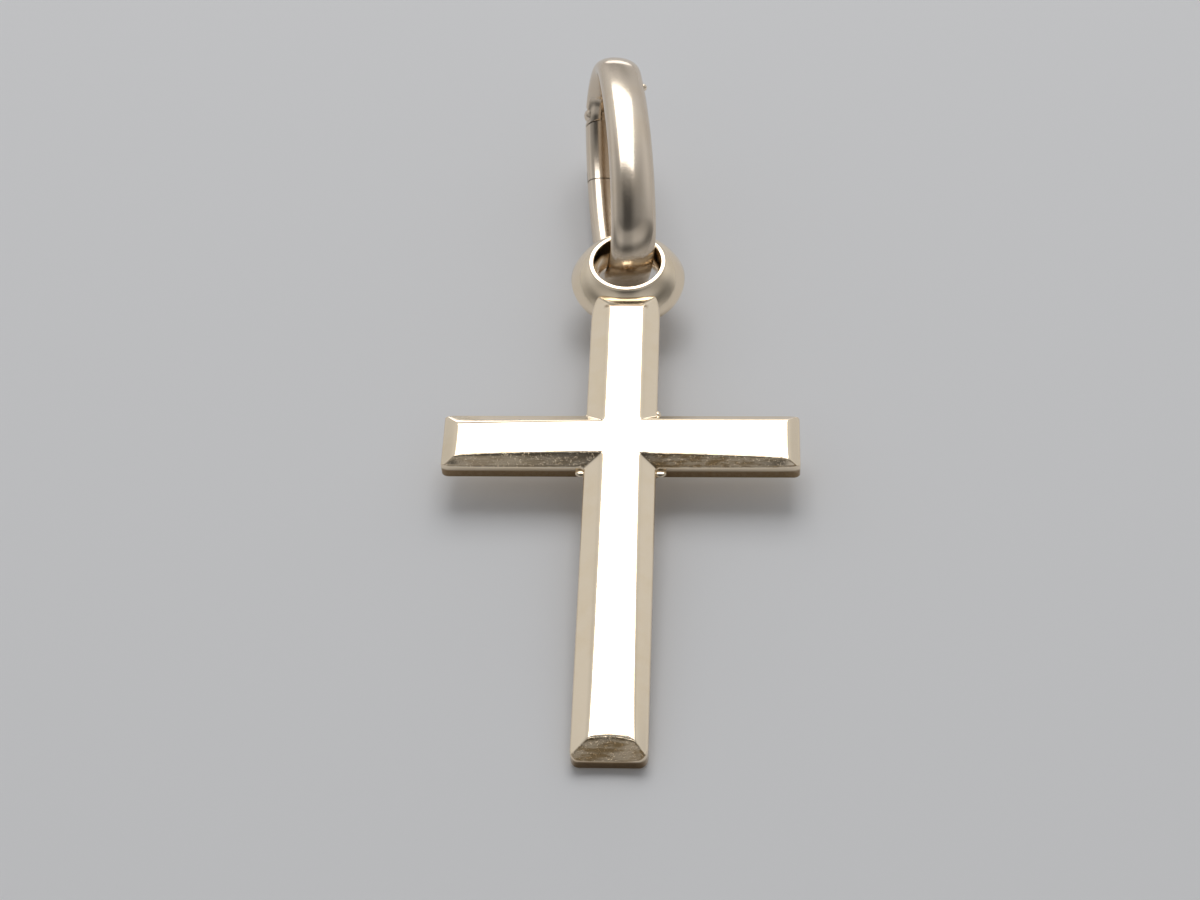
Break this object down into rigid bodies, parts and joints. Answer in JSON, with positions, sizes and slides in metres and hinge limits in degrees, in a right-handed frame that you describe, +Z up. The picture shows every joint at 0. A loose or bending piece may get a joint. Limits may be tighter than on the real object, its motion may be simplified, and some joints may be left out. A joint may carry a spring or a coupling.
{
  "type": "cross pendant",
  "caption": "Small bevelled gold cross pendant with a thick soldered ring at its head and an oval clip bail whose sprung gate opens inwards.",
  "frame": {"origin": "on the surface that the pendant lies on, under the middle of its outline", "axes": "+Z up from that surface, +Y from the foot of the cross towards the bail, +X to the right arm as the cross is seen from its face"},
  "size_m": [0.012, 0.0302, 0.0053],
  "materials": {
    "gold": "polished pale gold, satin where worn"
  },
  "bodies": {
    "pendant": {"cross": "gold", "bail_frame": "gold", "hinge_rivet": "gold"},
    "gate": {"bail_gate": "gold"}
  },
  "joints": [
    {"name": "gate_hinge", "type": "hinge", "parent": "pendant", "child": "gate", "pos_m": [-0.00109, 0.0141, 0.00204], "axis": [-0.9735, -0.1298, 0.188], "range_deg": [0, 35], "stiffness_Nm_per_rad": 0.0008, "springref_deg": -20.05}
  ]
}
